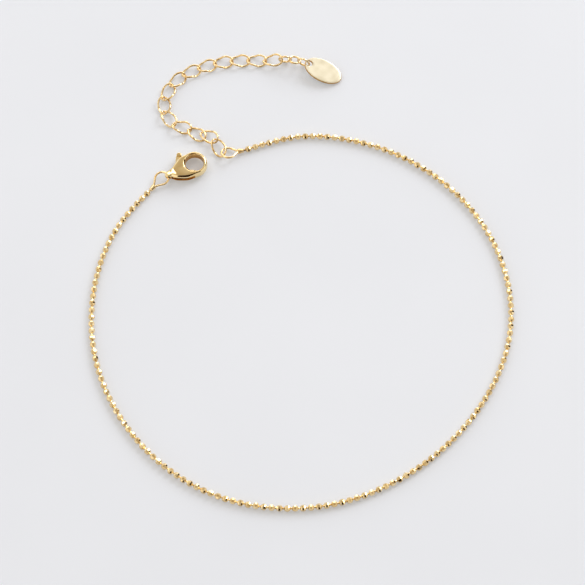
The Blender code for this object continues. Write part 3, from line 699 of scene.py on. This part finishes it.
# Piece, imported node, and heading, climb and roll in degrees
ROUND_ROWS = [
    ("small_link_1", "round_link_1", -3.0, 10.0, -84.0),
    ("small_link_2", "round_link_2", -10.0, -4.0, -28.0),
    ("tag_jump_ring", "tag_ring", -22.0, 4.0, -88.0),
]
angle = 2 * np.pi * np.arange(72) / 72
ring_line = np.stack([ROUND_RADIUS * np.cos(angle), ROUND_RADIUS * np.sin(angle), 0 * angle], 1)
ring_points, ring_faces = wire_loop(ring_line, LINK_WIRE / 2)
joint = middle + link_turn[:, 0] * LAST_REACH * LINK_PITCH / 2
for name, node, heading, climb, roll in ROUND_ROWS:
    ahead = turned(heading, climb)[:, 0] * (ROUND_RADIUS - (LINK_WIRE + LINK_GAP) / 2)
    ring = add_piece(name, ring_points @ turned(heading, climb, roll).T + joint + ahead,
                     ring_faces, wire_gold, 60)
    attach(ring, "anklet")
    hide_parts(node)
    joint = joint + 2 * ahead


# Tag
# A plain oval disc blanked from sheet, its rim tumbled round and its face left satin, with
# one punched hole.

TAG_LENGTH = 0.00764
TAG_WIDTH = 0.00450
TAG_THICKNESS = 0.00050
TAG_RIM = 0.00012
TAG_HOLE = 0.000575
TAG_HOLE_INSET = 0.00085
TAG_HOLE_RIM = 0.00008
# A face whose normal leans further than this cosine from upright belongs to the edge, which is
# painted darker as a reflection of the shaded floor
EDGE_COSINE = 0.93
TAG_PLACE = np.array([4.248, 42.729, 0.985]) * 0.001
TAG_TURN = turned(-24.5, -11.097)

# Satin gold plate: the sheet's fine grain, left by brushing before the plating
satin_gold = plated_gold("satin_gold_plate", "#E9E2CD", deep="#E6DEC5",
                         rough=0.35, grain=0.0016, bump=0.03)
# Painted reflection: the tag's edge is painted a deeper, browner gold, standing in for the shaded
# floor that the edge reflects
painted_reflection_edge_gold = plated_gold("tag_edge_painted_reflection_gold_plate", "#D8B070", deep="#B98A48",
                        rough=0.25, grain=0.0012, bump=0.05)

turn = 2 * np.pi * np.arange(40) / 40
hole_at = np.array([TAG_HOLE_INSET - TAG_LENGTH / 2, 0.0])
oval = np.stack([TAG_LENGTH / 2 * np.cos(turn), TAG_WIDTH / 2 * np.sin(turn)], 1)
tag = add_piece("satin_oval_tag", *holed_slab(closed_line(oval, 240), hole_at, TAG_HOLE,
                                              lambda x: TAG_THICKNESS / 2 + 0 * x,
                                              TAG_RIM, TAG_HOLE_RIM), satin_gold)
tag.data.materials.append(painted_reflection_edge_gold)
facing = np.empty(len(tag.data.polygons) * 3)
tag.data.polygons.foreach_get("normal", facing)
# The steep faces of the edge take the darker gold of the painted reflection
painted_edge_faces = np.abs(facing.reshape(-1, 3)[:, 2]) < EDGE_COSINE
tag.data.polygons.foreach_set("material_index", painted_edge_faces.astype(np.int32))
finish_piece(tag, TAG_PLACE, TAG_TURN, 35)
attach(tag, "anklet")
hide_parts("tag")


# Floor
# A plain pale sheet of matt board under everything.  It glows very faintly, which lifts the
# shadows on it.

FLOOR_REACH = 2.0

# Matt coated board: no shine, and a very faint mottle of patches some 30 mm wide
matt_white = bpy.data.materials.new("matt_white_board")
matt_white.use_nodes = True
tree = matt_white.node_tree
board = tree.nodes["Principled BSDF"]
board.inputs["Roughness"].default_value = 0.75
board.inputs["Emission Color"].default_value = linear("#F4F6FA")
board.inputs["Emission Strength"].default_value = 0.22
here = add_node(tree, "ShaderNodeTexCoord").outputs["Object"]
mottle = add_node(tree, "ShaderNodeTexNoise", {"Scale": 30.0, "Detail": 2.0}, Vector=here)
tint = add_node(tree, "ShaderNodeValToRGB", Fac=mottle.outputs["Fac"])
tint.color_ramp.elements[0].color = linear("#C6CAD3")
tint.color_ramp.elements[1].color = linear("#CCD0D9")
tree.links.new(tint.outputs["Color"], board.inputs["Base Color"])
floor = add_piece("pale_floor", [(x * FLOOR_REACH, y * FLOOR_REACH, 0)
                                 for x, y in ((-1, -1), (1, -1), (1, 1), (-1, 1))],
                  [(0, 1, 2, 3)], matt_white)


# Light and camera
# A broad soft light behind on the right, as the shadows fall to the front on the left, a low
# wide one at the back, a weak one high on the left, and a pale room with two dark cards.

VIEW_HEIGHT = math.radians(64.69)
VIEW_DISTANCE = 0.45605
VIEW_CENTRE = Vector((-0.0016, -0.0038, 0.0))
# The photograph's focal length and width, in its own pixels
FOCAL_PIXELS = 2477.6
PHOTO_WIDTH = 585
SENSOR_WIDTH = 36.0
WINDOW = Vector((0.731, 0.812, 0.631))
# Name, place, size in metres and power in watts
LIGHTS = [
    ("window_light", WINDOW, 0.60, 7.0),
    ("left_card", Vector((-0.46, 0.31, 0.95)), 0.34, 1.1),
    ("back_strip", Vector((0.0, 1.30, 0.40)), 0.80, 3.6),
]
# Cosines from the window's direction between which the white glow round it fades in
GLOW = (0.84, 0.95)
# Direction of each dark card, and the cosines between which it goes from room to card
DARK_CARDS = [
    (Vector((0.30, -0.92, 0.25)), 0.79, 0.89),
    (Vector((0.88, 0.42, 0.22)), 0.91, 0.96),
]
ROOM_STRENGTH = 1.24


def soft_light(name, spot, size, power):
    """A square white area light at the spot, turned to the middle of the view."""
    light = bpy.data.lights.new(name, "AREA")
    light.shape, light.size, light.energy = "SQUARE", size, power
    lamp = bpy.data.objects.new(name, light)
    bpy.context.scene.collection.objects.link(lamp)
    lamp.location = spot
    lamp.rotation_euler = (VIEW_CENTRE - lamp.location).to_track_quat("-Z", "Y").to_euler()


for light_row in LIGHTS:
    soft_light(*light_row)


def turned_towards(tree, way, direction, start, full):
    """From 0 to 1 as the cosine between the way looked and the direction goes start to full."""
    cosine = add_node(tree, "ShaderNodeVectorMath", {"operation": "DOT_PRODUCT"}, Vector=way)
    cosine.inputs[1].default_value = direction
    return add_node(tree, "ShaderNodeMapRange", {"From Min": start, "From Max": full},
                    Value=cosine.outputs["Value"]).outputs["Result"]


def blended(tree, share, below, above):
    """The colour below, covered by the colour above as the share goes to 1."""
    mix = add_node(tree, "ShaderNodeMix", {"data_type": "RGBA"})
    mix.inputs[7].default_value = above
    tree.links.new(share, mix.inputs[0])
    tree.links.new(below, mix.inputs[6])
    return mix.outputs[2]


# The room: white low down, greyer and warmer overhead, white again round the window, and two
# low dark cards, in front and at the right, that give polished metal its dark lines
world = bpy.data.worlds.new("pale_room")
bpy.context.scene.world = world
world.use_nodes = True
tree = world.node_tree
way = add_node(tree, "ShaderNodeTexCoord").outputs["Generated"]
parts = add_node(tree, "ShaderNodeSeparateXYZ", Vector=way)
sky = add_node(tree, "ShaderNodeValToRGB", Fac=parts.outputs["Z"])
sky.color_ramp.elements[0].position, sky.color_ramp.elements[0].color = 0.12, linear("#FFFFFF")
sky.color_ramp.elements[1].position, sky.color_ramp.elements[1].color = 1.00, linear("#A89A84")
sky.color_ramp.elements.new(0.62).color = linear("#D6D1C8")
room = blended(tree, turned_towards(tree, way, WINDOW.normalized(), *GLOW),
               sky.outputs["Color"], linear("#FFFFFF"))
for card, start, full in DARK_CARDS:
    room = blended(tree, turned_towards(tree, way, card.normalized(), start, full), room,
                   linear("#2A1A08"))
tree.links.new(room, tree.nodes["Background"].inputs["Color"])
tree.nodes["Background"].inputs["Strength"].default_value = ROOM_STRENGTH

lens = bpy.data.cameras.new("photo_camera")
lens.sensor_width, lens.lens = SENSOR_WIDTH, FOCAL_PIXELS / PHOTO_WIDTH * SENSOR_WIDTH
lens.clip_start, lens.clip_end = 0.01, 10.0
camera = bpy.data.objects.new("photo_camera", lens)
bpy.context.scene.collection.objects.link(camera)
camera.location = VIEW_CENTRE + VIEW_DISTANCE * Vector((0, -math.cos(VIEW_HEIGHT),
                                                        math.sin(VIEW_HEIGHT)))
camera.rotation_euler = (math.pi / 2 - VIEW_HEIGHT, 0.0, 0.0)
bpy.context.scene.camera = camera
bpy.context.scene.view_settings.view_transform = "Standard"
